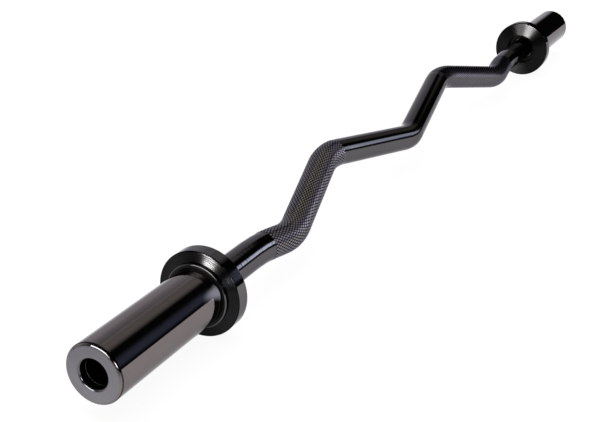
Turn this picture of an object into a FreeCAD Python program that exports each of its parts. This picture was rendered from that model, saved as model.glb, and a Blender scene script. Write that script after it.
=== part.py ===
import FreeCAD, Part
import math, os

# Curl bar with a cambered W-shaped grip shaft and two free-spinning sleeves.
# Millimetres, +Z up.  X runs along the bar; the floor is z = 0, the sleeve
# axis is parallel to X above the origin, at the height of a flange's radius.

V = FreeCAD.Vector

# ---------------------------------------------------------------- dimensions
OVERALL_LENGTH = 1194.0     # end face to end face, 47 in
FLANGE_R = 38.0             # inner collar, 76 mm across
FLANGE_T = 16.0             # inner collar thickness
FACE_CONE = 0.9             # both collar faces are turned very slightly conical
COLLAR_BORE_R = 19.7        # collar lip around the grip shaft
BORE_BREAK = 0.6            # broken edge of that bore
SLEEVE_R = 25.0             # plate sleeve, 50 mm across
COLLAR_SEAT_R = 24.6        # stepped seat that the collar and ring are pressed on
SLEEVE_LOAD = 143.0         # end face to the collar's outer face
SHAFT_R = 14.0              # grip shaft, 28 mm across
# centreline bend radii, from the outermost corner A to mid-length D
BEND_R_A, BEND_R_B, BEND_R_C, BEND_R_D = 250.0, 70.0, 85.0, 50.0
CAMBER_TILT = 45.0          # the W plane's lean above the horizontal, degrees

# centreline corners of one half of the W: distance from mid-length, offset
CAMBER_X_A, CAMBER_H_A = 350.0, 0.0
CAMBER_X_B, CAMBER_H_B = 300.0, -8.5
CAMBER_X_C, CAMBER_H_C = 163.5, 35.0
CAMBER_H_D = -2.2

# sleeve bore, measured inwards from the outer end face
MOUTH_R, MOUTH_DEPTH = 12.2, 7.0
LIP_ROUND = 2.2             # rounded lip of the mouth
ACCESS_R = 11.5             # wrench access bore behind the mouth
STEP_BREAK = 0.4            # broken edge where the access bore starts
WEB_OUT, WEB_IN = 37.6, 46.5
WEB_R = 8.5
BUSH_SEAT_R = 16.0
SEAL_SEAT_R = 19.5
SEAL_SEAT_AT = 146.5
SLEEVE_IN_END = 153.0
SNAP_GROOVE_R = 20.6
SNAP_AT, SNAP_T = 150.5, 1.4
END_ROUND = 2.8

# shaft ends
JOURNAL_R = 12.5            # runs in the bushes
JOURNAL_SHOULDER = 145.0
JOURNAL_END = 49.0
SPIGOT_R = 8.2
SPIGOT_END = 37.3
TAP_R, TAP_END = 5.03, 72.0

# bushes, rings and washers
BUSH_R = 12.55              # 0.05 mm radial running clearance
INNER_BUSH = (115.0, 143.0)
OUTER_BUSH = (52.0, 76.0)
SHOULDER_RING_R, SHOULDER_RING_T = 28.5, 4.0
THRUST_T, THRUST_RI, THRUST_RO = 1.7, 12.6, 15.7
WEB_WASHER_T, WEB_WASHER_RI, WEB_WASHER_RO = 2.0, 8.35, 15.2
RETAIN_T, RETAIN_RI, RETAIN_RO = 3.0, 5.3, 11.2
LOCK_T, LOCK_RI, LOCK_RO = 2.6, 5.15, 9.0
SEAL_RI = 14.35

# retaining bolt, M10 socket head
BOLT_R, BOLT_LEN = 5.0, 36.0
HEAD_R, HEAD_H = 8.0, 10.0
SOCKET_AF, SOCKET_DEPTH = 8.0, 5.5

HALF = OVERALL_LENGTH / 2.0
AXIS_Z = FLANGE_R


# ------------------------------------------------------------------- helpers
def rounded_wire(points):
    """Closed wire from (x, r, corner radius) points in the XZ plane."""
    n = len(points)
    corners = []
    for i in range(n):
        px, pr, _ = points[i - 1]
        cx, cr, rad = points[i]
        nx, nr, _ = points[(i + 1) % n]
        c = V(cx, 0, cr)
        if rad <= 0:
            corners.append((c, None, c))
            continue
        a = (V(px, 0, pr) - c).normalize()
        b = (V(nx, 0, nr) - c).normalize()
        half = math.acos(max(-1.0, min(1.0, a.dot(b)))) / 2.0
        t = rad / math.tan(half)
        bis = (a + b).normalize()
        centre = c + bis * (rad / math.sin(half))
        corners.append((c + a * t, centre - bis * rad, c + b * t))
    edges = []
    for i in range(n):
        start, mid, end = corners[i]
        if mid is not None:
            edges.append(Part.Arc(start, mid, end).toShape())
        nxt = corners[(i + 1) % n][0]
        if (nxt - end).Length > 1e-6:
            edges.append(Part.makeLine(end, nxt))
    return Part.Wire(edges)


def turned(side, profile):
    """Solid of revolution about the sleeve axis.

    profile is a list of (s, r) or (s, r, corner radius), s being the distance
    inwards from the outer end face of that side (-1 left, +1 right).
    """
    pts = []
    for p in profile:
        rad = p[2] if len(p) > 2 else 0.0
        pts.append((side * (HALF - p[0]), p[1], rad))
    face = Part.Face(rounded_wire(pts))
    solid = face.revolve(V(0, 0, 0), V(1, 0, 0), 360.0)
    if solid.ShapeType != "Solid":
        solid = solid.Solids[0]
    if solid.Volume < 0:
        solid.reverse()
    solid.translate(V(0, 0, AXIS_Z))
    return solid


def axis_box(side, s0, s1, y0, y1, z0, z1):
    """Box along the sleeve axis between two depths, y and z about the axis."""
    xa, xb = side * (HALF - s0), side * (HALF - s1)
    return Part.makeBox(abs(xb - xa), y1 - y0, z1 - z0,
                        V(min(xa, xb), y0, AXIS_Z + z0))


def hexagon(side, s0, s1, across_flats):
    """Hexagonal prism on the sleeve axis."""
    r = across_flats / 2.0 / math.cos(math.pi / 6.0)
    xa, xb = side * (HALF - s0), side * (HALF - s1)
    pts = [V(xa, r * math.cos(math.radians(60 * k + 15)),
             AXIS_Z + r * math.sin(math.radians(60 * k + 15))) for k in range(6)]
    wire = Part.makePolygon(pts + [pts[0]])
    return Part.Face(wire).extrude(V(xb - xa, 0, 0))


def one(shape):
    """The single solid of a shape, cleaned of split faces."""
    shape = shape.removeSplitter()
    solids = shape.Solids
    assert len(solids) == 1, len(solids)
    return solids[0]


# --------------------------------------------------------------- grip shaft
CT = math.cos(math.radians(CAMBER_TILT))
ST = math.sin(math.radians(CAMBER_TILT))


def camber(x, h):
    return V(x, h * CT, AXIS_Z + h * ST)


def centreline():
    """Wire of straights and arcs through the corners of the W."""
    reach = HALF - JOURNAL_SHOULDER - 6.0
    half = [(CAMBER_X_A, CAMBER_H_A), (CAMBER_X_B, CAMBER_H_B),
            (CAMBER_X_C, CAMBER_H_C)]
    pts = [camber(-reach, 0)]
    pts += [camber(-x, h) for x, h in half]
    pts += [camber(0, CAMBER_H_D)]
    pts += [camber(x, h) for x, h in reversed(half)]
    pts += [camber(reach, 0)]
    radii = [BEND_R_A, BEND_R_B, BEND_R_C]
    radii = radii + [BEND_R_D] + radii[::-1]
    edges, last = [], pts[0]
    for i in range(1, len(pts) - 1):
        c, rad = pts[i], radii[i - 1]
        a = (pts[i - 1] - c).normalize()
        b = (pts[i + 1] - c).normalize()
        ang = math.acos(max(-1.0, min(1.0, a.dot(b)))) / 2.0
        t = rad / math.tan(ang)
        bis = (a + b).normalize()
        mid = c + bis * (rad / math.sin(ang) - rad)
        edges.append(Part.makeLine(last, c + a * t))
        edges.append(Part.Arc(c + a * t, mid, c + b * t).toShape())
        last = c + b * t
    edges.append(Part.makeLine(last, pts[-1]))
    return Part.Wire(edges), pts[0]


path, start = centreline()
section = Part.Wire([Part.makeCircle(SHAFT_R, start, V(1, 0, 0))])
sweep = path.makePipeShell([section], True, False)
if sweep.ShapeType != "Solid":
    sweep = sweep.Solids[0] if sweep.Solids else Part.Solid(sweep)
if sweep.Volume < 0:
    sweep.reverse()


def shaft_end(side):
    """Shoulder, journal and spigot with a tapped hole for the bolt."""
    return turned(side, [
        (JOURNAL_SHOULDER + 6.0, 0.0),
        (JOURNAL_SHOULDER + 6.0, SHAFT_R),
        (JOURNAL_SHOULDER + 0.4, SHAFT_R),
        (JOURNAL_SHOULDER, SHAFT_R - 0.4),
        (JOURNAL_SHOULDER, JOURNAL_R),
        (JOURNAL_END + 0.8, JOURNAL_R),
        (JOURNAL_END, JOURNAL_R - 0.8),
        (JOURNAL_END, SPIGOT_R),
        (SPIGOT_END + 0.6, SPIGOT_R),
        (SPIGOT_END, SPIGOT_R - 0.6),
        (SPIGOT_END, TAP_R + 0.7),
        (SPIGOT_END + 0.7, TAP_R),
        (TAP_END, TAP_R),
        (TAP_END + 2.9, 0.0),
    ])


parts = {}
parts["shaft"] = one(sweep.multiFuse([shaft_end(-1), shaft_end(1)]))


# ------------------------------------------------------------------ each end
def sleeve(side):
    """Plate sleeve: open mouth, access bore, web and bush seat."""
    return turned(side, [
        (0.0, SLEEVE_R, END_ROUND),
        (SLEEVE_LOAD - SHOULDER_RING_T, SLEEVE_R),
        (SLEEVE_LOAD - SHOULDER_RING_T, COLLAR_SEAT_R),
        (SLEEVE_IN_END - 0.5, COLLAR_SEAT_R),
        (SLEEVE_IN_END, COLLAR_SEAT_R - 0.5),
        (SLEEVE_IN_END, SEAL_SEAT_R + 0.5),
        (SLEEVE_IN_END - 0.5, SEAL_SEAT_R),
        (SNAP_AT + SNAP_T + 0.1, SEAL_SEAT_R),
        (SNAP_AT + SNAP_T + 0.1, SNAP_GROOVE_R),
        (SNAP_AT, SNAP_GROOVE_R),
        (SNAP_AT, SEAL_SEAT_R),
        (SEAL_SEAT_AT, SEAL_SEAT_R),
        (SEAL_SEAT_AT, BUSH_SEAT_R),
        (WEB_IN, BUSH_SEAT_R),
        (WEB_IN, WEB_R),
        (WEB_OUT, WEB_R),
        (WEB_OUT, ACCESS_R),
        (MOUTH_DEPTH + STEP_BREAK, ACCESS_R),
        (MOUTH_DEPTH, ACCESS_R + STEP_BREAK),
        (MOUTH_DEPTH, MOUTH_R),
        (0.0, MOUTH_R, LIP_ROUND),
    ])


def flange(side):
    """Inner collar with rounded rims; its lip closes the sleeve's end."""
    s0, s1 = SLEEVE_LOAD, SLEEVE_LOAD + FLANGE_T
    return turned(side, [
        (s0, COLLAR_SEAT_R),
        (s0 + FACE_CONE, FLANGE_R, 1.0),
        (s1 - FACE_CONE, FLANGE_R, 1.6),
        (s1, COLLAR_BORE_R + BORE_BREAK),
        (s1 - BORE_BREAK, COLLAR_BORE_R),
        (SLEEVE_IN_END, COLLAR_BORE_R),
        (SLEEVE_IN_END, COLLAR_SEAT_R),
    ])


def shoulder_ring(side):
    """Turned ring that a plate stops against, relieved at the sleeve."""
    s1 = SLEEVE_LOAD
    s0 = s1 - SHOULDER_RING_T
    return turned(side, [
        (s0 + 0.7, COLLAR_SEAT_R),
        (s0, SLEEVE_R + 0.3),
        (s0, SHOULDER_RING_R, 1.2),
        (s1, SHOULDER_RING_R),
        (s1, COLLAR_SEAT_R),
    ])


def bush(side, span):
    a, b = span
    return turned(side, [
        (a, BUSH_R + 0.5), (a, BUSH_SEAT_R - 0.4), (a + 0.4, BUSH_SEAT_R),
        (b - 0.4, BUSH_SEAT_R), (b, BUSH_SEAT_R - 0.4), (b, BUSH_R + 0.5),
        (b - 0.5, BUSH_R), (a + 0.5, BUSH_R),
    ])


def washer(side, s0, t, ri, ro, c=0.2):
    return turned(side, [
        (s0, ri), (s0, ro - c), (s0 + c, ro), (s0 + t - c, ro),
        (s0 + t, ro - c), (s0 + t, ri),
    ])


def lock_washer(side, s0):
    """Split spring washer, its cut at the top."""
    ring = washer(side, s0, LOCK_T, LOCK_RI, LOCK_RO, 0.3)
    gap = axis_box(side, s0 - 1, s0 + LOCK_T + 1, -0.6, 0.6, 0.0, LOCK_RO + 2)
    return one(ring.cut(gap))


def bolt(side):
    """Socket head bolt, head outwards, its shank in the shaft's end."""
    h1 = SPIGOT_END - RETAIN_T - LOCK_T
    h0 = h1 - HEAD_H
    tip = h1 + BOLT_LEN
    body = turned(side, [
        (h0, 0.0), (h0, HEAD_R - 0.8), (h0 + 0.8, HEAD_R), (h1, HEAD_R, 0.4),
        (h1, BOLT_R, 0.2), (tip - 1.0, BOLT_R), (tip, BOLT_R - 1.0), (tip, 0.0),
    ])
    return one(body.cut(hexagon(side, h0 - 1.0, h0 + SOCKET_DEPTH, SOCKET_AF)))


def seal(side):
    """Dust seal around the grip shaft, with a lip groove."""
    a, b = SEAL_SEAT_AT, SNAP_AT
    return turned(side, [
        (a, SEAL_RI + 0.4), (a, SEAL_SEAT_R), (b, SEAL_SEAT_R),
        (b, SEAL_RI + 2.6), (b - 1.2, SEAL_RI + 1.6), (b - 0.2, SEAL_RI + 0.5),
        (b - 0.6, SEAL_RI), (a + 0.4, SEAL_RI),
    ])


def snap_ring(side):
    """Internal retaining ring with two plier lugs, its gap at the top."""
    ro, ri = SNAP_GROOVE_R - 0.1, SEAL_SEAT_R - 2.1
    ring = washer(side, SNAP_AT, SNAP_T, ri, ro, 0.1)
    lug_r, hole_r, spread = 2.0, 0.8, 15.0
    x0 = side * (HALF - SNAP_AT)
    along = V(-side, 0, 0)
    holes = []
    for sign in (-1, 1):
        a = math.radians(90.0 + sign * spread)
        c = V(x0, (ri - 0.1) * math.cos(a), AXIS_Z + (ri - 0.1) * math.sin(a))
        ring = ring.fuse(Part.makeCylinder(lug_r, SNAP_T, c, along))
        holes.append(Part.makeCylinder(hole_r, SNAP_T * 3, c - along * SNAP_T, along))
    gap = axis_box(side, SNAP_AT - 1, SNAP_AT + SNAP_T + 1, -2.2, 2.2, 8.0, ro + 2)
    ring = ring.cut(gap)
    for h in holes:
        ring = ring.cut(h)
    return one(ring)


for side, tag in ((-1, "left"), (1, "right")):
    parts["sleeve_" + tag] = sleeve(side)
    parts["flange_" + tag] = flange(side)
    parts["shoulder_ring_" + tag] = shoulder_ring(side)
    parts["inner_bush_" + tag] = bush(side, INNER_BUSH)
    parts["outer_bush_" + tag] = bush(side, OUTER_BUSH)
    parts["dust_seal_" + tag] = seal(side)
    parts["snap_ring_" + tag] = snap_ring(side)
    parts["thrust_washer_" + tag] = washer(
        side, JOURNAL_SHOULDER - THRUST_T, THRUST_T, THRUST_RI, THRUST_RO)
    parts["web_washer_" + tag] = washer(
        side, JOURNAL_END - WEB_WASHER_T, WEB_WASHER_T, WEB_WASHER_RI, WEB_WASHER_RO)
    parts["retaining_washer_" + tag] = washer(
        side, SPIGOT_END - RETAIN_T, RETAIN_T, RETAIN_RI, RETAIN_RO, 0.4)
    parts["lock_washer_" + tag] = lock_washer(side, SPIGOT_END - RETAIN_T - LOCK_T)
    parts["retaining_bolt_" + tag] = bolt(side)

# ------------------------------------------------------------------- writing
os.makedirs("parts", exist_ok=True)
for name, shape in parts.items():
    assert shape.isValid(), name
    assert shape.Volume > 0, name
    shape.exportStep("parts/%s.step" % name)
    b = shape.BoundBox
    print("%-24s %9.1f mm3  x %.1f..%.1f  y %.1f..%.1f  z %.1f..%.1f" % (
        name, shape.Volume, b.XMin, b.XMax, b.YMin, b.YMax, b.ZMin, b.ZMax))
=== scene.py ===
import math

import bpy
import numpy as np
from mathutils import Matrix, Vector


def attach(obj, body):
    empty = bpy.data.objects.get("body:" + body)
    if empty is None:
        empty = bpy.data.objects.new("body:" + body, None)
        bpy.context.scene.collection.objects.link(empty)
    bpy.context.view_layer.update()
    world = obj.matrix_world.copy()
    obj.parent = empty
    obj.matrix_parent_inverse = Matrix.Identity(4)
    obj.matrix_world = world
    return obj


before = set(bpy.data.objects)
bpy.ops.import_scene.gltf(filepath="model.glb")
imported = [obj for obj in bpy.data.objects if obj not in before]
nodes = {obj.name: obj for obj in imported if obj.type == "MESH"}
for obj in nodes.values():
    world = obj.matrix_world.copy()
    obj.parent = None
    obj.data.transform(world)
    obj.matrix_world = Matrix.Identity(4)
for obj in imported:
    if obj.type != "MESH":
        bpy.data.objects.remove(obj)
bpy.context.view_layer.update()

scene = bpy.context.scene
SIDES = ("left", "right")

# ------------------------------------------------------------------ constants
# Driving sizes of the bar, in metres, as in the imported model.
HALF = 0.597
AXIS_Z = 0.038
SHAFT_R = 0.014
BENDS = (0.250, 0.070, 0.085, 0.050)
TILT = math.radians(45.0)
CORNERS = [(0.350, 0.0), (0.300, -0.0085), (0.1635, 0.035), (0.0, -0.0022)]


# ------------------------------------------------------------- node utilities
class Shader:
    """Small helper that wires one material's node tree."""

    def __init__(self, name):
        self.mat = bpy.data.materials.new(name)
        self.mat.use_nodes = True
        self.tree = self.mat.node_tree
        self.tree.nodes.clear()
        self.out = self.tree.nodes.new("ShaderNodeOutputMaterial")
        self.bsdf = self.tree.nodes.new("ShaderNodeBsdfPrincipled")
        self.link(self.bsdf.outputs["BSDF"], self.out.inputs["Surface"])

    def link(self, a, b):
        self.tree.links.new(a, b)

    def node(self, kind, **props):
        n = self.tree.nodes.new(kind)
        for k, v in props.items():
            setattr(n, k, v)
        return n

    def coords(self):
        return self.node("ShaderNodeTexCoord").outputs["Object"]

    def mapping(self, vec, scale=(1, 1, 1), loc=(0, 0, 0), rot=(0, 0, 0)):
        m = self.node("ShaderNodeMapping")
        m.inputs["Scale"].default_value = scale
        m.inputs["Location"].default_value = loc
        m.inputs["Rotation"].default_value = rot
        self.link(vec, m.inputs["Vector"])
        return m.outputs["Vector"]

    def noise(self, vec, scale, detail=3.0, rough=0.5, dist=0.0):
        n = self.node("ShaderNodeTexNoise")
        n.inputs["Scale"].default_value = scale
        n.inputs["Detail"].default_value = detail
        n.inputs["Roughness"].default_value = rough
        n.inputs["Distortion"].default_value = dist
        self.link(vec, n.inputs["Vector"])
        return n.outputs["Fac"]

    def ramp(self, fac, stops, mode="LINEAR"):
        r = self.node("ShaderNodeValToRGB")
        e = r.color_ramp
        e.interpolation = mode
        while len(e.elements) < len(stops):
            e.elements.new(0.5)
        for el, (p, c) in zip(e.elements, stops):
            el.position = p
            el.color = (c, c, c, 1) if isinstance(c, (int, float)) else (*c, 1)
        self.link(fac, r.inputs["Fac"])
        return r.outputs["Color"]

    def math(self, op, a, b=None, c=None, clamp=False):
        n = self.node("ShaderNodeMath", operation=op, use_clamp=clamp)
        for i, x in enumerate((a, b, c)):
            if x is None:
                continue
            if isinstance(x, (int, float)):
                n.inputs[i].default_value = x
            else:
                self.link(x, n.inputs[i])
        return n.outputs[0]

    def mix(self, fac, a, b, blend="MIX"):
        n = self.node("ShaderNodeMix", data_type="RGBA", blend_type=blend)
        for sock, x in ((n.inputs[0], fac), (n.inputs[6], a), (n.inputs[7], b)):
            if isinstance(x, (int, float)):
                sock.default_value = x
            elif isinstance(x, tuple):
                sock.default_value = (*x, 1)
            else:
                self.link(x, sock)
        return n.outputs[2]

    def bump(self, height, strength, distance=0.001, normal=None):
        b = self.node("ShaderNodeBump")
        b.inputs["Strength"].default_value = strength
        b.inputs["Distance"].default_value = distance
        self.link(height, b.inputs["Height"])
        if normal is not None:
            self.link(normal, b.inputs["Normal"])
        return b.outputs["Normal"]

    def split(self, vec):
        s = self.node("ShaderNodeSeparateXYZ")
        self.link(vec, s.inputs[0])
        return s.outputs[0], s.outputs[1], s.outputs[2]

    def set(self, **values):
        for k, v in values.items():
            sock = self.bsdf.inputs[k.replace("_", " ")]
            if isinstance(v, (int, float, tuple)):
                sock.default_value = v
            else:
                self.link(v, sock)


def axis_parts(sh):
    """x, radius about the sleeve axis and angle, in object space."""
    x, y, z = sh.split(sh.coords())
    zc = sh.math("SUBTRACT", z, AXIS_Z)
    rr = sh.math("SQRT", sh.math("ADD", sh.math("MULTIPLY", y, y), sh.math("MULTIPLY", zc, zc)))
    ang = sh.math("ARCTAN2", zc, y)
    return x, rr, ang


def rings(sh, per_m, swirl=0.6):
    """Fine lathe lines: noise that runs along x and the radius and hardly changes around the axis."""
    x, rr, ang = axis_parts(sh)
    comb = sh.node("ShaderNodeCombineXYZ")
    sh.link(sh.math("MULTIPLY", x, per_m), comb.inputs[0])
    sh.link(sh.math("MULTIPLY", rr, per_m), comb.inputs[1])
    sh.link(sh.math("MULTIPLY", ang, swirl), comb.inputs[2])
    return sh.noise(comb.outputs[0], 1.0, 2.0, 0.5)


def plating(name, dark, light, rough_lo, rough_hi, tint, turned=True, grain=0.05, ripple=0.0):
    """Gloss black plating: metal with a deep tone, soft cloudiness, fine turning lines and hairlines."""
    sh = Shader(name)
    co = sh.coords()
    cloud = sh.noise(co, 38.0, 4.0, 0.55)
    fine = sh.noise(co, 900.0, 2.0, 0.6)
    col = sh.ramp(cloud, [(0.30, dark), (0.72, light)])
    hair = sh.noise(sh.mapping(co, (60.0, 1400.0, 1400.0)), 1.0, 2.0, 0.6, 0.4)
    worn = sh.ramp(hair, [(0.66, 0.0), (0.82, 1.0)])
    sh.set(Base_Color=sh.mix(sh.math("MULTIPLY", worn, 0.10), col, tuple(min(1.0, c * 1.7) for c in light)))
    rough = sh.ramp(sh.math("ADD", sh.math("MULTIPLY", cloud, 0.7), sh.math("MULTIPLY", fine, 0.3)),
                    [(0.32, rough_lo), (0.70, rough_hi)])
    sh.set(Roughness=rough, Metallic=1.0)
    sh.set(Specular_Tint=(*tint, 1.0))
    if turned:
        lines = rings(sh, 2600.0)
    else:
        lines = sh.noise(sh.mapping(co, (120.0, 1800.0, 1800.0)), 1.0, 2.0, 0.55)
    normal = sh.bump(lines, grain, 0.00003)
    normal = sh.bump(fine, grain * 0.8, 0.00003, normal)
    if ripple:
        # faint cross rings left by grinding the bar
        x, y, z = sh.split(co)
        comb = sh.node("ShaderNodeCombineXYZ")
        sh.link(sh.math("MULTIPLY", x, 560.0), comb.inputs[0])
        sh.link(sh.math("MULTIPLY", y, 30.0), comb.inputs[1])
        sh.link(sh.math("MULTIPLY", z, 30.0), comb.inputs[2])
        normal = sh.bump(sh.noise(comb.outputs[0], 1.0, 1.0, 0.5), ripple, 0.0002, normal)
    sh.set(Normal=normal)
    return sh


def lathe_face(name, dark, light, rough_lo, rough_hi, aniso, tint, lines_up=0.12, cone=0.0, grooves=0.0):
    """Faced on a lathe: circular tool marks that pull highlights out into a radial fan, on a slightly conical face with a few outer grooves."""
    sh = Shader(name)
    co = sh.coords()
    cloud = sh.noise(co, 70.0, 3.0, 0.55)
    lines = rings(sh, 2400.0, 0.35)
    coarse = rings(sh, 700.0, 0.2)
    tone = sh.math("ADD", sh.math("MULTIPLY", cloud, 0.5), sh.math("MULTIPLY", lines, 0.5))
    sh.set(Base_Color=sh.ramp(tone, [(0.32, dark), (0.68, light)]), Metallic=1.0)
    sh.set(Roughness=sh.ramp(tone, [(0.30, rough_lo), (0.70, rough_hi)]))
    sh.set(Specular_Tint=(*tint, 1.0))
    if aniso:
        sh.set(Anisotropic=aniso, Anisotropic_Rotation=0.25)
        tan = sh.node("ShaderNodeTangent", direction_type="RADIAL", axis="X")
        sh.link(tan.outputs[0], sh.bsdf.inputs["Tangent"])
    normal = sh.bump(lines, lines_up, 0.00003)
    normal = sh.bump(coarse, lines_up * 0.5, 0.00006, normal)
    x, rr, ang = axis_parts(sh)
    if cone:
        normal = sh.bump(sh.math("MULTIPLY", rr, -cone), 1.0, 1.0, normal)
    if grooves:
        wave = sh.math("SINE", sh.math("MULTIPLY", rr, 2 * math.pi / 0.0019))
        outer = sh.node("ShaderNodeMapRange", interpolation_type="SMOOTHSTEP")
        outer.inputs["From Min"].default_value = 0.0310
        outer.inputs["From Max"].default_value = 0.0325
        sh.link(rr, outer.inputs["Value"])
        normal = sh.bump(sh.math("MULTIPLY", wave, outer.outputs["Result"]), 1.0, grooves, normal)
    sh.set(Normal=normal)
    return sh


# ------------------------------------------------------------------ materials
mats = {}
mats["sleeve"] = plating("plate_sleeve_black", (0.138, 0.121, 0.120), (0.153, 0.134, 0.133), 0.035, 0.07, (0.62, 0.62, 0.64), grain=0.09).mat
mats["shaft"] = plating("shaft_black", (0.080, 0.077, 0.080), (0.091, 0.087, 0.090), 0.05, 0.10, (0.55, 0.55, 0.57), turned=False, ripple=0.22).mat
# painted sheen: the knurl tops get over twice the tone of the plain bar's plating
mats["knurl"] = plating("knurl_painted_sheen", (0.190, 0.181, 0.188), (0.222, 0.212, 0.220), 0.18, 0.23, (0.5, 0.5, 0.55), turned=False, grain=0.10).mat
# painted shade: the knurl grooves get a near-black copy of the plating
mats["groove"] = plating("knurl_groove_painted_shade", (0.014, 0.013, 0.014), (0.022, 0.021, 0.022), 0.30, 0.40, (0.5, 0.5, 0.55), turned=False, grain=0.12).mat
mats["flange"] = plating("collar_black", (0.100, 0.095, 0.098), (0.114, 0.108, 0.111), 0.05, 0.09, (0.55, 0.55, 0.57)).mat
mats["ring"] = plating("shoulder_ring_black", (0.070, 0.067, 0.068), (0.085, 0.081, 0.082), 0.06, 0.12, (0.5, 0.5, 0.52)).mat
# collar face tone: partly the dark turned finish, partly painted shade, far darker than the collar's own plating
mats["face"] = lathe_face("collar_face_turned_painted_shade", (0.012, 0.012, 0.012), (0.018, 0.018, 0.018), 0.26, 0.30, 1.0, (0.5, 0.5, 0.52), 0.05, cone=0.2, grooves=0.00010).mat
# painted shade: the collars' inner faces get a still darker copy of the turned face
mats["face_in"] = lathe_face("collar_inner_face_painted_shade", (0.006, 0.006, 0.006), (0.010, 0.010, 0.010), 0.26, 0.30, 1.0, (0.5, 0.5, 0.52), 0.05, cone=0.2).mat
# painted shade: the collars' rounded edges get a much darker copy of the collar plating, dimming the glints on them
mats["edge"] = plating("collar_edge_painted_shade", (0.0065, 0.0062, 0.0065), (0.0095, 0.0092, 0.0095), 0.10, 0.18, (0.5, 0.5, 0.52)).mat
# painted shade: a dark copy of the sleeve plating on the outer part of the end rounding, a dark band round each sleeve
# end
mats["rim"] = plating("end_rim_painted_shade", (0.030, 0.028, 0.029), (0.038, 0.036, 0.037), 0.06, 0.10, (0.5, 0.5, 0.52)).mat
mats["lip"] = plating("mouth_lip_black", (0.095, 0.090, 0.095), (0.110, 0.105, 0.110), 0.10, 0.16, (0.55, 0.55, 0.57)).mat
# painted shade: the edge of the step deep in the sleeve mouth is kept nearly black
mats["step"] = plating("mouth_step_painted_shade", (0.012, 0.012, 0.012), (0.020, 0.020, 0.020), 0.25, 0.35, (0.6, 0.6, 0.62)).mat
# shoulder ring face tone: partly the dark turned finish, partly painted shade, far darker than the ring's own plating
mats["ring_face"] = lathe_face("ring_face_turned_painted_shade", (0.012, 0.012, 0.012), (0.02, 0.02, 0.02), 0.34, 0.42, 0.8, (0.5, 0.5, 0.52)).mat
mats["end"] = lathe_face("end_face_satin", (0.138, 0.133, 0.146), (0.166, 0.161, 0.176), 0.20, 0.30, 0.0, (0.6, 0.6, 0.62), 0.10).mat
# painted shade: the bores of sleeves and collars are kept nearly black
mats["bore"] = lathe_face("bore_painted_shade", (0.008, 0.008, 0.008), (0.016, 0.016, 0.016), 0.30, 0.45, 0.0, (0.4, 0.4, 0.4), 0.2).mat


def bronze():
    sh = Shader("oiled_bronze")
    co = sh.coords()
    pores = sh.noise(co, 1500.0, 3.0, 0.6)
    cloud = sh.noise(co, 60.0, 4.0, 0.6)
    col = sh.ramp(cloud, [(0.3, (0.34, 0.20, 0.075)), (0.7, (0.52, 0.33, 0.13))])
    sh.set(Base_Color=sh.mix(sh.ramp(pores, [(0.28, 1.0), (0.40, 0.0)]), col, (0.07, 0.04, 0.02)))
    sh.set(Metallic=1.0, Roughness=sh.ramp(cloud, [(0.3, 0.28), (0.7, 0.46)]), Normal=sh.bump(pores, 0.35, 0.00005))
    return sh.mat


def rubber():
    sh = Shader("seal_rubber_matt")
    co = sh.coords()
    grain = sh.noise(co, 1800.0, 3.0, 0.6)
    cloud = sh.noise(co, 90.0, 3.0, 0.5)
    sh.set(Base_Color=sh.ramp(cloud, [(0.3, (0.008, 0.008, 0.009)), (0.7, (0.02, 0.02, 0.021))]))
    sh.set(Roughness=sh.ramp(grain, [(0.3, 0.55), (0.7, 0.8)]), Normal=sh.bump(grain, 0.25, 0.00004))
    return sh.mat


def steel(name, lo, hi, r0, r1):
    sh = Shader(name)
    co = sh.coords()
    cloud = sh.noise(co, 120.0, 4.0, 0.6)
    x, rr, ang = axis_parts(sh)
    comb = sh.node("ShaderNodeCombineXYZ")
    sh.link(sh.math("MULTIPLY", x, 1800.0), comb.inputs[0])
    sh.link(sh.math("MULTIPLY", rr, 2600.0), comb.inputs[1])
    sh.link(sh.math("MULTIPLY", ang, 1.5), comb.inputs[2])
    lines = sh.noise(comb.outputs[0], 1.0, 2.0, 0.5)
    sh.set(Base_Color=sh.ramp(cloud, [(0.3, lo), (0.7, hi)]), Metallic=1.0)
    sh.set(Roughness=sh.ramp(lines, [(0.3, r0), (0.7, r1)]), Normal=sh.bump(lines, 0.2, 0.00004))
    return sh.mat


mats["bronze"] = bronze()
mats["rubber"] = rubber()
mats["spring"] = steel("phosphated_spring_steel", (0.10, 0.095, 0.09), (0.17, 0.16, 0.15), 0.28, 0.45)
mats["snap"] = steel("blackened_snap_ring", (0.016, 0.015, 0.015), (0.030, 0.028, 0.027), 0.40, 0.55)
mats["zinc"] = steel("zinc_washer_steel", (0.42, 0.42, 0.43), (0.58, 0.58, 0.58), 0.22, 0.38)
# black oxide finish, kept very dark: partly its own colour, partly painted shade inside the bore
mats["bolt"] = steel("black_oxide_steel_and_painted_shade", (0.014, 0.014, 0.015), (0.026, 0.026, 0.028), 0.30, 0.46)

NODE_MAT = {"shaft": "shaft", "sleeve": "sleeve", "flange": "flange", "shoulder_ring": "ring", "inner_bush": "bronze",
            "outer_bush": "bronze", "dust_seal": "rubber", "snap_ring": "snap", "thrust_washer": "zinc",
            "web_washer": "zinc", "retaining_washer": "zinc", "lock_washer": "spring", "retaining_bolt": "bolt"}


def put(obj, mat):
    obj.data.materials.clear()
    obj.data.materials.append(mat)


for name, obj in nodes.items():
    base = name
    for t in SIDES:
        if base.endswith("_" + t):
            base = base[: -len(t) - 1]
    put(obj, mats[NODE_MAT[base]])


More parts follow.
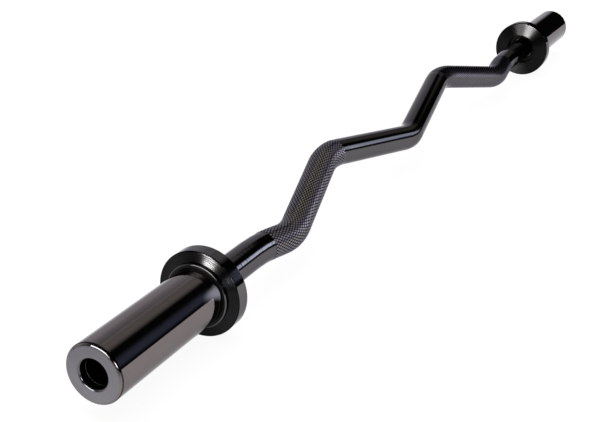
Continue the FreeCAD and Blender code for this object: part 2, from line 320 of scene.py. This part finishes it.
def finish_faces(obj, *rules):
    """Gives the faces that each rule picks their own material slot; rules get the normal's outward x, depth from the end and radius."""
    me = obj.data
    n = len(me.polygons)
    nor = np.empty(n * 3)
    cen = np.empty(n * 3)
    me.polygons.foreach_get("normal", nor)
    me.polygons.foreach_get("center", cen)
    nor, cen = nor.reshape(-1, 3), cen.reshape(-1, 3)
    rad = np.hypot(cen[:, 1], cen[:, 2] - AXIS_Z)
    index = np.zeros(n, dtype=np.int32)
    for k, (mat, rule) in enumerate(rules):
        me.materials.append(mat)
        index[rule(nor[:, 0] * np.sign(cen[:, 0]), HALF - np.abs(cen[:, 0]), rad)] = k + 1
    me.polygons.foreach_set("material_index", index)


for t in SIDES:
    finish_faces(nodes["flange_" + t],
                 (mats["face"], lambda nx, s, r: (nx > 0.9) & (r < 0.0374)),
                 (mats["face_in"], lambda nx, s, r: (nx < -0.9) & (r < 0.0374)),
                 (mats["edge"], lambda nx, s, r: (np.abs(nx) > 0.2) & (np.abs(nx) < 0.985) & (r > 0.0355)),
                 (mats["bore"], lambda nx, s, r: (r < 0.0206) & (nx > -0.9)))
    finish_faces(nodes["shoulder_ring_" + t], (mats["ring_face"], lambda nx, s, r: (nx > 0.6) & (r < 0.0275)))
    finish_faces(nodes["sleeve_" + t],
                 (mats["end"], lambda nx, s, r: (nx > 0.97) & (s < 0.0004) & (r > 0.0136)),
                 (mats["lip"], lambda nx, s, r: (nx > 0.03) & (nx <= 0.97) & (s < 0.0023) & (r < 0.0146)),
                 (mats["rim"], lambda nx, s, r: (nx > 0.04) & (nx < 0.55) & (s < 0.003) & (r > 0.0215)),
                 (mats["bore"], lambda nx, s, r: (r < 0.0125) & (s > 0.0023) & (s < 0.05)),
                 (mats["step"], lambda nx, s, r: (nx > 0.3) & (nx < 0.9) & (r < 0.0125) & (s > 0.0068) & (s < 0.0076)))


# ---------------------------------------------------------------- grip knurls
CT, ST = math.cos(TILT), math.sin(TILT)
PLANE_N = Vector((0.0, -ST, CT))


def camber(x, h):
    return Vector((x, h * CT, AXIS_Z + h * ST))


def path_spans():
    """The shaft's centreline from left to right as straights and arcs."""
    pts = [camber(-0.446, 0)] + [camber(-x, h) for x, h in CORNERS]
    pts += [camber(x, h) for x, h in reversed(CORNERS[:-1])] + [camber(0.446, 0)]
    radii = BENDS + BENDS[2::-1]
    spans, last = [], pts[0]
    for i in range(1, len(pts) - 1):
        c, rad = pts[i], radii[i - 1]
        a, b = (pts[i - 1] - c).normalized(), (pts[i + 1] - c).normalized()
        half = math.acos(max(-1, min(1, a.dot(b)))) / 2
        t = rad / math.tan(half)
        centre = c + (a + b).normalized() * (rad / math.sin(half))
        spans.append(("line", last, c + a * t))
        spans.append(("arc", c + a * t, c + b * t, centre, math.pi - 2 * half, rad))
        last = c + b * t
    spans.append(("line", last, pts[-1]))
    return spans


SPANS = path_spans()
LENGTHS = [(s[2] - s[1]).length if s[0] == "line" else s[5] * s[4] for s in SPANS]
STARTS = [sum(LENGTHS[:i]) for i in range(len(LENGTHS))]
TOTAL = sum(LENGTHS)


def at(u):
    """Point and tangent at distance u along the centreline."""
    i = 0
    while i < len(SPANS) - 1 and u > STARTS[i] + LENGTHS[i]:
        i += 1
    s, t = SPANS[i], u - STARTS[i]
    if s[0] == "line":
        d = (s[2] - s[1]).normalized()
        return s[1] + d * t, d
    r0 = (s[1] - s[3])
    r1 = (s[2] - s[3])
    k = r0.cross(r1).normalized()
    ang = t / s[5]
    r = r0 * math.cos(ang) + k.cross(r0) * math.sin(ang)
    return s[3] + r, k.cross(r).normalized()


def knurl(name, u0, u1):
    """Diamond knurl on a closed band: flat-topped diamonds on a staggered grid, with a V groove between neighbours."""
    cols = 60
    rows = 2 * int(round((u1 - u0) / 0.0056))
    root, top, share = SHAFT_R + 0.00003, SHAFT_R + 0.00021, 0.64
    end = SHAFT_R - 0.0001
    co, faces, index, normals = [], [], [], []

    def outward(i, j):
        """Outward direction of the round bar at a grid place."""
        c, t = at(u0 + (u1 - u0) * i / rows)
        m = PLANE_N.cross(t).normalized()
        a = 2 * math.pi * j / cols
        return tuple(m * math.cos(a) + PLANE_N * math.sin(a))

    def put_at(i, j, r):
        c, t = at(u0 + (u1 - u0) * i / rows)
        m = PLANE_N.cross(t).normalized()
        a = 2 * math.pi * j / cols
        co.append(c + (m * math.cos(a) + PLANE_N * math.sin(a)) * r)
        return len(co) - 1

    def grid(i, j):
        return i * cols + j % cols

    for i in range(rows + 1):
        for j in range(cols):
            put_at(i, j, end if i in (0, rows) else root)
    for i in range(rows + 1):
        for j in range(cols):
            if (i + j) % 2 == 0:
                continue
            if i == 0:
                faces += [(grid(0, j - 1), grid(0, j), grid(1, j)), (grid(0, j), grid(0, j + 1), grid(1, j))]
                index += [1, 1]
                normals += [[(0, 0, 0)] * 3, [(0, 0, 0)] * 3]
                continue
            if i == rows:
                faces += [(grid(i, j), grid(i, j - 1), grid(i - 1, j)), (grid(i, j + 1), grid(i, j), grid(i - 1, j))]
                index += [1, 1]
                normals += [[(0, 0, 0)] * 3, [(0, 0, 0)] * 3]
                continue
            ring = [grid(i, j + 1), grid(i + 1, j), grid(i, j - 1), grid(i - 1, j)]
            flat = [put_at(i, j + share, top), put_at(i + share, j, top), put_at(i, j - share, top), put_at(i - share, j, top)]
            faces.append(tuple(flat))
            index.append(0)
            normals.append([outward(i, j + share), outward(i + share, j), outward(i, j - share), outward(i - share, j)])
            for k in range(4):
                n = (k + 1) % 4
                faces.append((ring[k], ring[n], flat[n], flat[k]))
                index.append(1)
                normals.append([(0, 0, 0)] * 4)
    # inner wall, just under the bar's own surface, closes the band
    steps = list(range(0, rows, 4)) + [rows]
    inner = len(co)
    for i in steps:
        for j in range(cols):
            put_at(i, j, SHAFT_R - 0.0004)
    for i in range(len(steps) - 1):
        for j in range(cols):
            p, q = inner + i * cols + j, inner + i * cols + (j + 1) % cols
            faces.append((p, p + cols, q + cols, q))
    last = inner + (len(steps) - 1) * cols
    for j in range(cols):
        k = (j + 1) % cols
        faces.append((j, inner + j, inner + k, k))
        faces.append((grid(rows, j), grid(rows, k), last + k, last + j))
    index += [1] * (len(faces) - len(index))
    # grid points in the middle of a diamond are covered by its flat, so they are dropped
    used = sorted({v for f in faces for v in f})
    slim = {v: n for n, v in enumerate(used)}
    me = bpy.data.meshes.new(name)
    me.from_pydata([tuple(co[v]) for v in used], [], [tuple(slim[v] for v in f) for f in faces])
    me.materials.append(mats["knurl"])
    me.materials.append(mats["groove"])
    me.polygons.foreach_set("material_index", index)
    me.polygons.foreach_set("use_smooth", [k == 0 for k in index])
    me.update()
    loops = [v for f in normals for v in f]
    loops += [(0, 0, 0)] * (len(me.loops) - len(loops))
    me.normals_split_custom_set(loops)
    ob = bpy.data.objects.new(name, me)
    scene.collection.objects.link(ob)
    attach(ob, "grip_shaft")
    return ob


# knurled from the end of the outermost bend to just past the inner grip's peak
KNURL_IN = STARTS[2] - 0.017
KNURL_OUT = STARTS[6] - 0.008
knurls = [knurl("knurl_left", KNURL_IN, KNURL_OUT), knurl("knurl_right", TOTAL - KNURL_OUT, TOTAL - KNURL_IN)]

# ---------------------------------------------------------------------- stage
bpy.ops.mesh.primitive_grid_add(x_subdivisions=2, y_subdivisions=2, size=1.0, location=(0, 0, 0))
floor = bpy.context.active_object
floor.name = "floor"
floor.scale = (4.4, 3.2, 1)
floor.location = (0.2, 0.3, 0)
fl = bpy.data.materials.new("pale_floor")
fl.use_nodes = True
ft = fl.node_tree
ft.nodes.clear()
fo = ft.nodes.new("ShaderNodeOutputMaterial")
fd = ft.nodes.new("ShaderNodeBsdfDiffuse")
fe = ft.nodes.new("ShaderNodeEmission")
fa = ft.nodes.new("ShaderNodeAddShader")
fd.inputs["Color"].default_value = (0.12, 0.12, 0.12, 1)
fe.inputs["Color"].default_value = (1, 1, 1, 1)
fe.inputs["Strength"].default_value = 0.93
ft.links.new(fd.outputs[0], fa.inputs[0])
ft.links.new(fe.outputs[0], fa.inputs[1])
# reflections see the pale floor with painted light and shade: a little occlusion shade under the bar, a painted pool of
# light near the bar that falls off ahead of the near sleeve's end, and a painted shade over the floor from the near
# sleeve's end inward
fb = ft.nodes.new("ShaderNodeBsdfDiffuse")
fb.inputs["Color"].default_value = (0.30, 0.30, 0.30, 1)
fg = ft.nodes.new("ShaderNodeEmission")
fg.inputs["Color"].default_value = (1.0, 0.985, 0.985, 1)
fg.inputs["Strength"].default_value = 0.98
fc = ft.nodes.new("ShaderNodeAmbientOcclusion")
fc.samples = 8
fc.inputs["Distance"].default_value = 0.015


def fmath(op, a, b=None):
    n = ft.nodes.new("ShaderNodeMath")
    n.operation = op
    for i, x in enumerate((a, b)):
        if isinstance(x, (int, float)):
            n.inputs[i].default_value = x
        elif x is not None:
            ft.links.new(x, n.inputs[i])
    return n.outputs[0]


fall = ft.nodes.new("ShaderNodeSeparateXYZ")
ft.links.new(ft.nodes.new("ShaderNodeNewGeometry").outputs["Position"], fall.inputs[0])
# painted fall-off: the reflected floor darkens ahead of the near sleeve's end
painted_falloff_ahead_of_end = ft.nodes.new("ShaderNodeMapRange")
painted_falloff_ahead_of_end.interpolation_type = "SMOOTHSTEP"
painted_falloff_ahead_of_end.inputs["From Min"].default_value = -0.80
painted_falloff_ahead_of_end.inputs["From Max"].default_value = -0.60
painted_falloff_ahead_of_end.inputs["To Min"].default_value = 0.36
painted_falloff_ahead_of_end.inputs["To Max"].default_value = 1.24
ft.links.new(fall.outputs[0], painted_falloff_ahead_of_end.inputs["Value"])
# painted shade: the reflected floor dims a little from the near sleeve's end inward
painted_shade_under_bar = ft.nodes.new("ShaderNodeMapRange")
painted_shade_under_bar.interpolation_type = "SMOOTHSTEP"
painted_shade_under_bar.inputs["From Min"].default_value = -0.63
painted_shade_under_bar.inputs["From Max"].default_value = -0.58
painted_shade_under_bar.inputs["To Min"].default_value = 1.0
painted_shade_under_bar.inputs["To Max"].default_value = 0.855
ft.links.new(fall.outputs[0], painted_shade_under_bar.inputs["Value"])
ft.links.new(fmath("MULTIPLY", fmath("MULTIPLY", fc.outputs["AO"], painted_falloff_ahead_of_end.outputs["Result"]), painted_shade_under_bar.outputs["Result"]), fg.inputs["Strength"])
fm = ft.nodes.new("ShaderNodeAddShader")
ft.links.new(fb.outputs[0], fm.inputs[0])
ft.links.new(fg.outputs[0], fm.inputs[1])
fp = ft.nodes.new("ShaderNodeLightPath")
fx = ft.nodes.new("ShaderNodeMixShader")
ft.links.new(fp.outputs["Is Camera Ray"], fx.inputs[0])
ft.links.new(fm.outputs[0], fx.inputs[1])
ft.links.new(fa.outputs[0], fx.inputs[2])
ft.links.new(fx.outputs[0], fo.inputs["Surface"])
put(floor, fl)

# --------------------------------------------------------------------- lights
world = bpy.data.worlds.new("studio") if scene.world is None else scene.world
scene.world = world
world.use_nodes = True
wt = world.node_tree
wt.nodes.clear()


def wn(kind, **props):
    n = wt.nodes.new(kind)
    for k, v in props.items():
        setattr(n, k, v)
    return n


def wmath(op, a, b=None, c=None, clamp=False):
    n = wn("ShaderNodeMath", operation=op, use_clamp=clamp)
    for i, x in enumerate((a, b, c)):
        if x is None:
            continue
        if isinstance(x, (int, float)):
            n.inputs[i].default_value = x
        else:
            wt.links.new(x, n.inputs[i])
    return n.outputs[0]


def wsmooth(x, lo, hi):
    n = wn("ShaderNodeMapRange", interpolation_type="SMOOTHSTEP", clamp=True)
    n.inputs["From Min"].default_value = lo
    n.inputs["From Max"].default_value = hi
    wt.links.new(x, n.inputs["Value"])
    return n.outputs["Result"]


tc = wn("ShaderNodeTexCoord")
sx = wn("ShaderNodeSeparateXYZ")
wt.links.new(tc.outputs["Generated"], sx.inputs[0])
dx, dy, dz = sx.outputs
az = wmath("MULTIPLY", wmath("ARCTAN2", dy, dx), 180 / math.pi)
el = wmath("MULTIPLY", wmath("ARCSINE", dz), 180 / math.pi)
# broad pale panel to the left of the bar, brighter towards the floor
panel = wmath("MULTIPLY", wsmooth(az, 9.0, 17.0), wsmooth(az, 150.0, 100.0))
panel = wmath("MULTIPLY", panel, wsmooth(el, -2.0, 0.0))
panel = wmath("MULTIPLY", panel, wmath("MAXIMUM", wmath("SUBTRACT", 1.52, wmath("MULTIPLY", el, 0.0285)), 0.10))
# dim blue side of the room to the right
blue = wmath("MULTIPLY", wsmooth(az, -28.0, -41.0), wmath("MULTIPLY", wsmooth(el, 34.0, 17.0), wsmooth(el, 1.0, 12.0)))
blue = wmath("MULTIPLY", blue, wsmooth(az, -150.0, -110.0))
blue = wmath("MULTIPLY", blue, 0.15)

def wcol(fac, color):
    n = wn("ShaderNodeMix", data_type="RGBA", blend_type="MIX")
    n.inputs[6].default_value = (0, 0, 0, 1)
    n.inputs[7].default_value = (*color, 1)
    wt.links.new(fac, n.inputs[0])
    return n.outputs[2]


def wadd(a, b):
    n = wn("ShaderNodeMix", data_type="RGBA", blend_type="ADD")
    n.inputs[0].default_value = 1.0
    for s, x in ((n.inputs[6], a), (n.inputs[7], b)):
        if isinstance(x, tuple):
            s.default_value = (*x, 1)
        else:
            wt.links.new(x, s)
    return n.outputs[2]


room = wadd(wcol(panel, (1.0, 0.985, 1.03)), wcol(blue, (0.70, 0.82, 1.40)))
room = wadd(room, (0.008, 0.008, 0.007))
bg_room = wn("ShaderNodeBackground")
wt.links.new(room, bg_room.inputs["Color"])
bg_room.inputs["Strength"].default_value = 1.0
bg_pale = wn("ShaderNodeBackground")
bg_pale.inputs["Color"].default_value = (1.0, 1.0, 1.0, 1)
bg_pale.inputs["Strength"].default_value = 1.02
lp = wn("ShaderNodeLightPath")
wm = wn("ShaderNodeMixShader")
wt.links.new(lp.outputs["Is Camera Ray"], wm.inputs[0])
wt.links.new(bg_room.outputs[0], wm.inputs[1])
wt.links.new(bg_pale.outputs[0], wm.inputs[2])
wo = wn("ShaderNodeOutputWorld")
wt.links.new(wm.outputs[0], wo.inputs["Surface"])


def area(name, loc, target, sx_, sy_, radiance, color):
    """Soft box of a given radiance, so that its size doesn't change how bright its reflection is."""
    d = bpy.data.lights.new(name, "AREA")
    d.shape = "RECTANGLE"
    d.size, d.size_y = sx_, sy_
    d.energy = radiance * math.pi * sx_ * sy_
    d.color = color
    o = bpy.data.objects.new(name, d)
    scene.collection.objects.link(o)
    o.location = loc
    direction = (Vector(target) - Vector(loc)).normalized()
    o.rotation_euler = direction.to_track_quat("-Z", "Y").to_euler()
    o.visible_camera = False
    return o


def group(name, objs):
    c = bpy.data.collections.new(name)
    for o in objs:
        c.objects.link(o)
    return c


def glow_card(name, corners, radiance, color, ramps, seen_by):
    """Reflector card with soft edges that only adds its glow: each ramp fades it along a mix of its x, y and z."""
    me = bpy.data.meshes.new(name)
    me.from_pydata(corners, [], [(0, 1, 2, 3)])
    o = bpy.data.objects.new(name, me)
    scene.collection.objects.link(o)
    m = bpy.data.materials.new(name)
    m.use_nodes = True
    t = m.node_tree
    t.nodes.clear()
    out = t.nodes.new("ShaderNodeOutputMaterial")
    add = t.nodes.new("ShaderNodeAddShader")
    clear = t.nodes.new("ShaderNodeBsdfTransparent")
    emit = t.nodes.new("ShaderNodeEmission")
    emit.inputs["Color"].default_value = (*color, 1)
    co = t.nodes.new("ShaderNodeTexCoord")
    fac = None
    for weights, lo, hi, least in ramps:
        dot = t.nodes.new("ShaderNodeVectorMath")
        dot.operation = "DOT_PRODUCT"
        dot.inputs[1].default_value = weights
        t.links.new(co.outputs["Object"], dot.inputs[0])
        r = t.nodes.new("ShaderNodeMapRange")
        r.interpolation_type = "SMOOTHSTEP"
        r.inputs["From Min"].default_value = lo
        r.inputs["From Max"].default_value = hi
        r.inputs["To Min"].default_value = least
        t.links.new(dot.outputs["Value"], r.inputs["Value"])
        if fac is None:
            r.inputs["To Max"].default_value = radiance
            fac = r.outputs["Result"]
        else:
            k = t.nodes.new("ShaderNodeMath")
            k.operation = "MULTIPLY"
            t.links.new(fac, k.inputs[0])
            t.links.new(r.outputs["Result"], k.inputs[1])
            fac = k.outputs[0]
    t.links.new(fac, emit.inputs["Strength"])
    t.links.new(clear.outputs[0], add.inputs[0])
    t.links.new(emit.outputs[0], add.inputs[1])
    t.links.new(add.outputs[0], out.inputs["Surface"])
    put(o, m)
    o.visible_camera = False
    o.visible_diffuse = False
    o.visible_shadow = False
    o.light_linking.receiver_collection = seen_by
    return o


smooth = group("smooth", list(nodes.values()))
overhead = group("overhead", [o for o in nodes.values() if o is not nodes["sleeve_right"]])
plain = group("plain", [nodes["shaft"]] + [nodes["shoulder_ring_" + t] for t in SIDES] + knurls)
ends = group("ends", [nodes["sleeve_" + t] for t in SIDES])
near_collar = group("near_collar", [nodes["flange_left"]])
far_collar = group("far_collar", [nodes["flange_right"]])
near_grip = group("near_grip", knurls[:1])
far_grip = group("far_grip", knurls[1:])
shaft_only = group("shaft_only", [nodes["shaft"]])
near_sleeve = group("near_sleeve", [nodes["sleeve_left"]])


def lit_by(o, receivers):
    o.light_linking.receiver_collection = receivers


# key low behind the camera, set separately for the collars' turned faces, the sleeve ends and the rest; smaller lamp to its right
lit_by(area("key_near_collar", (-2.33, 0.45, 0.56), (-0.3, 0, 0.03), 0.46, 0.46, 340.0, (1.0, 0.985, 0.97)), near_collar)
lit_by(area("key_far_collar", (-2.33, 0.32, 0.58), (0.4, 0, 0.03), 0.5, 0.5, 420.0, (1.0, 0.985, 0.97)), far_collar)
lit_by(area("key_far_side", (-2.33, 0.87, 0.55), (0.4, 0, 0.03), 0.6, 0.5, 90.0, (1.0, 0.985, 0.97)), far_collar)
lit_by(area("key_soft", (-2.05, 0.38, 0.75), (-0.3, 0, 0.03), 1.5, 1.1, 8.0, (1.0, 0.985, 0.95)), plain)
lit_by(area("key_ends", (-2.05, 0.38, 0.75), (-0.3, 0, 0.03), 1.2, 0.9, 9.0, (0.91, 1.0, 1.03)), ends)
lit_by(area("lamp_collar", (-1.50, -1.10, 0.49), (-0.5, 0, 0.03), 0.45, 0.40, 45.0, (0.88, 0.94, 1.12)), near_collar)
lit_by(area("lamp_ends", (-1.50, -1.10, 0.49), (-0.5, 0, 0.03), 0.45, 0.40, 12.0, (0.95, 0.98, 1.05)), ends)
# cool card to the right with a leaning left edge, a soft card overhead in front of the near collar, and a warm one over the grips
cool = glow_card("cool_card", [(0.95, -1.2, 0.10), (2.90, -1.2, 0.10), (2.90, -1.2, 1.15), (0.95, -1.2, 1.15)], 7.0, (0.88, 0.95, 1.15),
                 [((1.0, 0, -0.5), 0.895, 0.975, 0.0), ((-1.0, 0, 0), -2.75, -2.45, 0.0), ((-1.0, 0, 0), -1.62, -1.12, 0.33),
                  ((0, 0, 1.0), 0.22, 0.44, 0.0), ((0, 0, -1.0), -1.00, -0.70, 0.0)], smooth)
top = glow_card("top_card", [(-0.5, -0.5, 0.80), (1.1, -0.5, 0.80), (1.1, 0.6, 0.80), (-0.5, 0.6, 0.80)], 0.43, (1.0, 0.985, 0.94),
                [((0, 1.0, 0), -0.37, -0.06, 0.0), ((0, -1.0, 0), -0.40, -0.06, 0.0), ((-1.0, 0, 0), -0.68, -0.50, 0.0)], overhead)
warm = glow_card("grip_card", [(-0.2, -0.7, 0.95), (1.1, -0.7, 0.95), (1.1, 0.8, 0.95), (-0.2, 0.8, 0.95)], 0.55, (1.0, 0.94, 0.76),
                 [((0, 1.0, 0), -0.55, -0.25, 0.0), ((0, -1.0, 0), -0.75, -0.45, 0.0), ((-1.0, 0, 0), -1.05, -0.80, 0.0)], near_grip)
lilac = glow_card("near_grip_side_card", [(-0.1, -0.5, 0.0), (1.2, -0.5, 0.0), (1.2, -0.5, 0.6), (-0.1, -0.5, 0.6)], 2.3, (0.95, 0.92, 1.10),
                  [((1.0, 0, 0), 0.05, 0.60, 0.25), ((-1.0, 0, 0), -1.09, -0.97, 0.0), ((0, 0, -1.0), -0.50, -0.28, 0.0)], near_grip)
mauve = glow_card("far_grip_side_card", [(-0.1, -0.53, 0.0), (1.2, -0.53, 0.0), (1.2, -0.53, 0.6), (-0.1, -0.53, 0.6)], 1.9, (0.96, 0.91, 1.12),
                  [((1.0, 0, 0), 0.05, 0.60, 0.30), ((-1.0, 0, 0), -1.02, -0.92, 0.0), ((0, 0, -1.0), -0.40, -0.20, 0.0)], far_grip)
plum = glow_card("grip_fill_card", [(0.5, -1.5, 0.98), (2.4, -1.5, 0.98), (2.4, 0.4, 0.98), (0.5, 0.4, 0.98)], 0.58, (1.0, 0.93, 1.10),
                 [((1.0, 0, 0), 0.70, 1.00, 0.0), ((-1.0, 0, 0), -2.30, -1.90, 0.0), ((0, 1.0, 0), -1.40, -1.00, 0.0), ((0, -1.0, 0), -0.30, 0.05, 0.0)], near_grip)
ahead = glow_card("far_card", [(2.4, -0.9, 0.5), (2.4, 1.1, 0.5), (2.4, 1.1, 1.8), (2.4, -0.9, 1.8)], 0.24, (1.0, 0.98, 0.86),
                  [((0, 1.0, 0), -0.75, -0.30, 0.0), ((0, -1.0, 0), -1.0, -0.40, 0.0), ((0, 0, 1.0), 0.65, 0.93, 0.0), ((0, 0, -1.0), -1.65, -1.30, 0.0)], shaft_only)
# small glowing card at the near collar's face, a painted reflection: the sleeve mirrors it next to the shoulder ring as
# a bright patch
SEAT_U, SEAT_T = (-0.92, 0.39), (0.39, 0.92)
seat = [(-0.4585, SEAT_U[0] * r + SEAT_T[0] * t, AXIS_Z + SEAT_U[1] * r + SEAT_T[1] * t)
        for r, t in ((0.0252, -0.011), (0.0252, 0.011), (0.047, 0.011), (0.047, -0.011))]
MID_T, MID_U = 0.92 * AXIS_Z, 0.39 * AXIS_Z
painted_reflection_card = glow_card("seat_card_painted_reflection", seat, 1.7, (0.84, 0.97, 1.14),
                  [((0, 0.39, 0.92), MID_T - 0.010, MID_T - 0.001, 0.0), ((0, -0.39, -0.92), -MID_T - 0.010, -MID_T - 0.001, 0.0),
                   ((0, 0.92, -0.39), -MID_U - 0.046, -MID_U - 0.030, 0.0)], near_sleeve)
# wide fill over the floor, kept out of the bar's reflections
fill = area("floor_fill", (0.2, 0.2, 3.0), (0.2, 0.2, 0.0), 5.0, 5.0, 1.7, (1.0, 1.0, 1.0))
fill.visible_glossy = False

# --------------------------------------------------------------------- camera
cam_data = bpy.data.cameras.new("camera")
cam = bpy.data.objects.new("camera", cam_data)
scene.collection.objects.link(cam)
CAM_POS = Vector((-1.1656, -0.4543, 0.4586))
CAM_AZ, CAM_PITCH = math.radians(26.92), math.radians(22.43)
fwd = Vector((math.cos(CAM_PITCH) * math.cos(CAM_AZ), math.cos(CAM_PITCH) * math.sin(CAM_AZ), -math.sin(CAM_PITCH)))
right = Vector((math.sin(CAM_AZ), -math.cos(CAM_AZ), 0))
up = right.cross(fwd)
rot = Matrix((right, up, -fwd)).transposed()
cam.matrix_world = Matrix.Translation(CAM_POS) @ rot.to_4x4()
cam_data.sensor_fit = "HORIZONTAL"
cam_data.sensor_width = 36.0
cam_data.lens = 1150.0 / 600.0 * 36.0
cam_data.clip_start, cam_data.clip_end = 0.01, 100.0
scene.camera = cam
scene.view_settings.view_transform = "Standard"
scene.view_settings.look = "None"
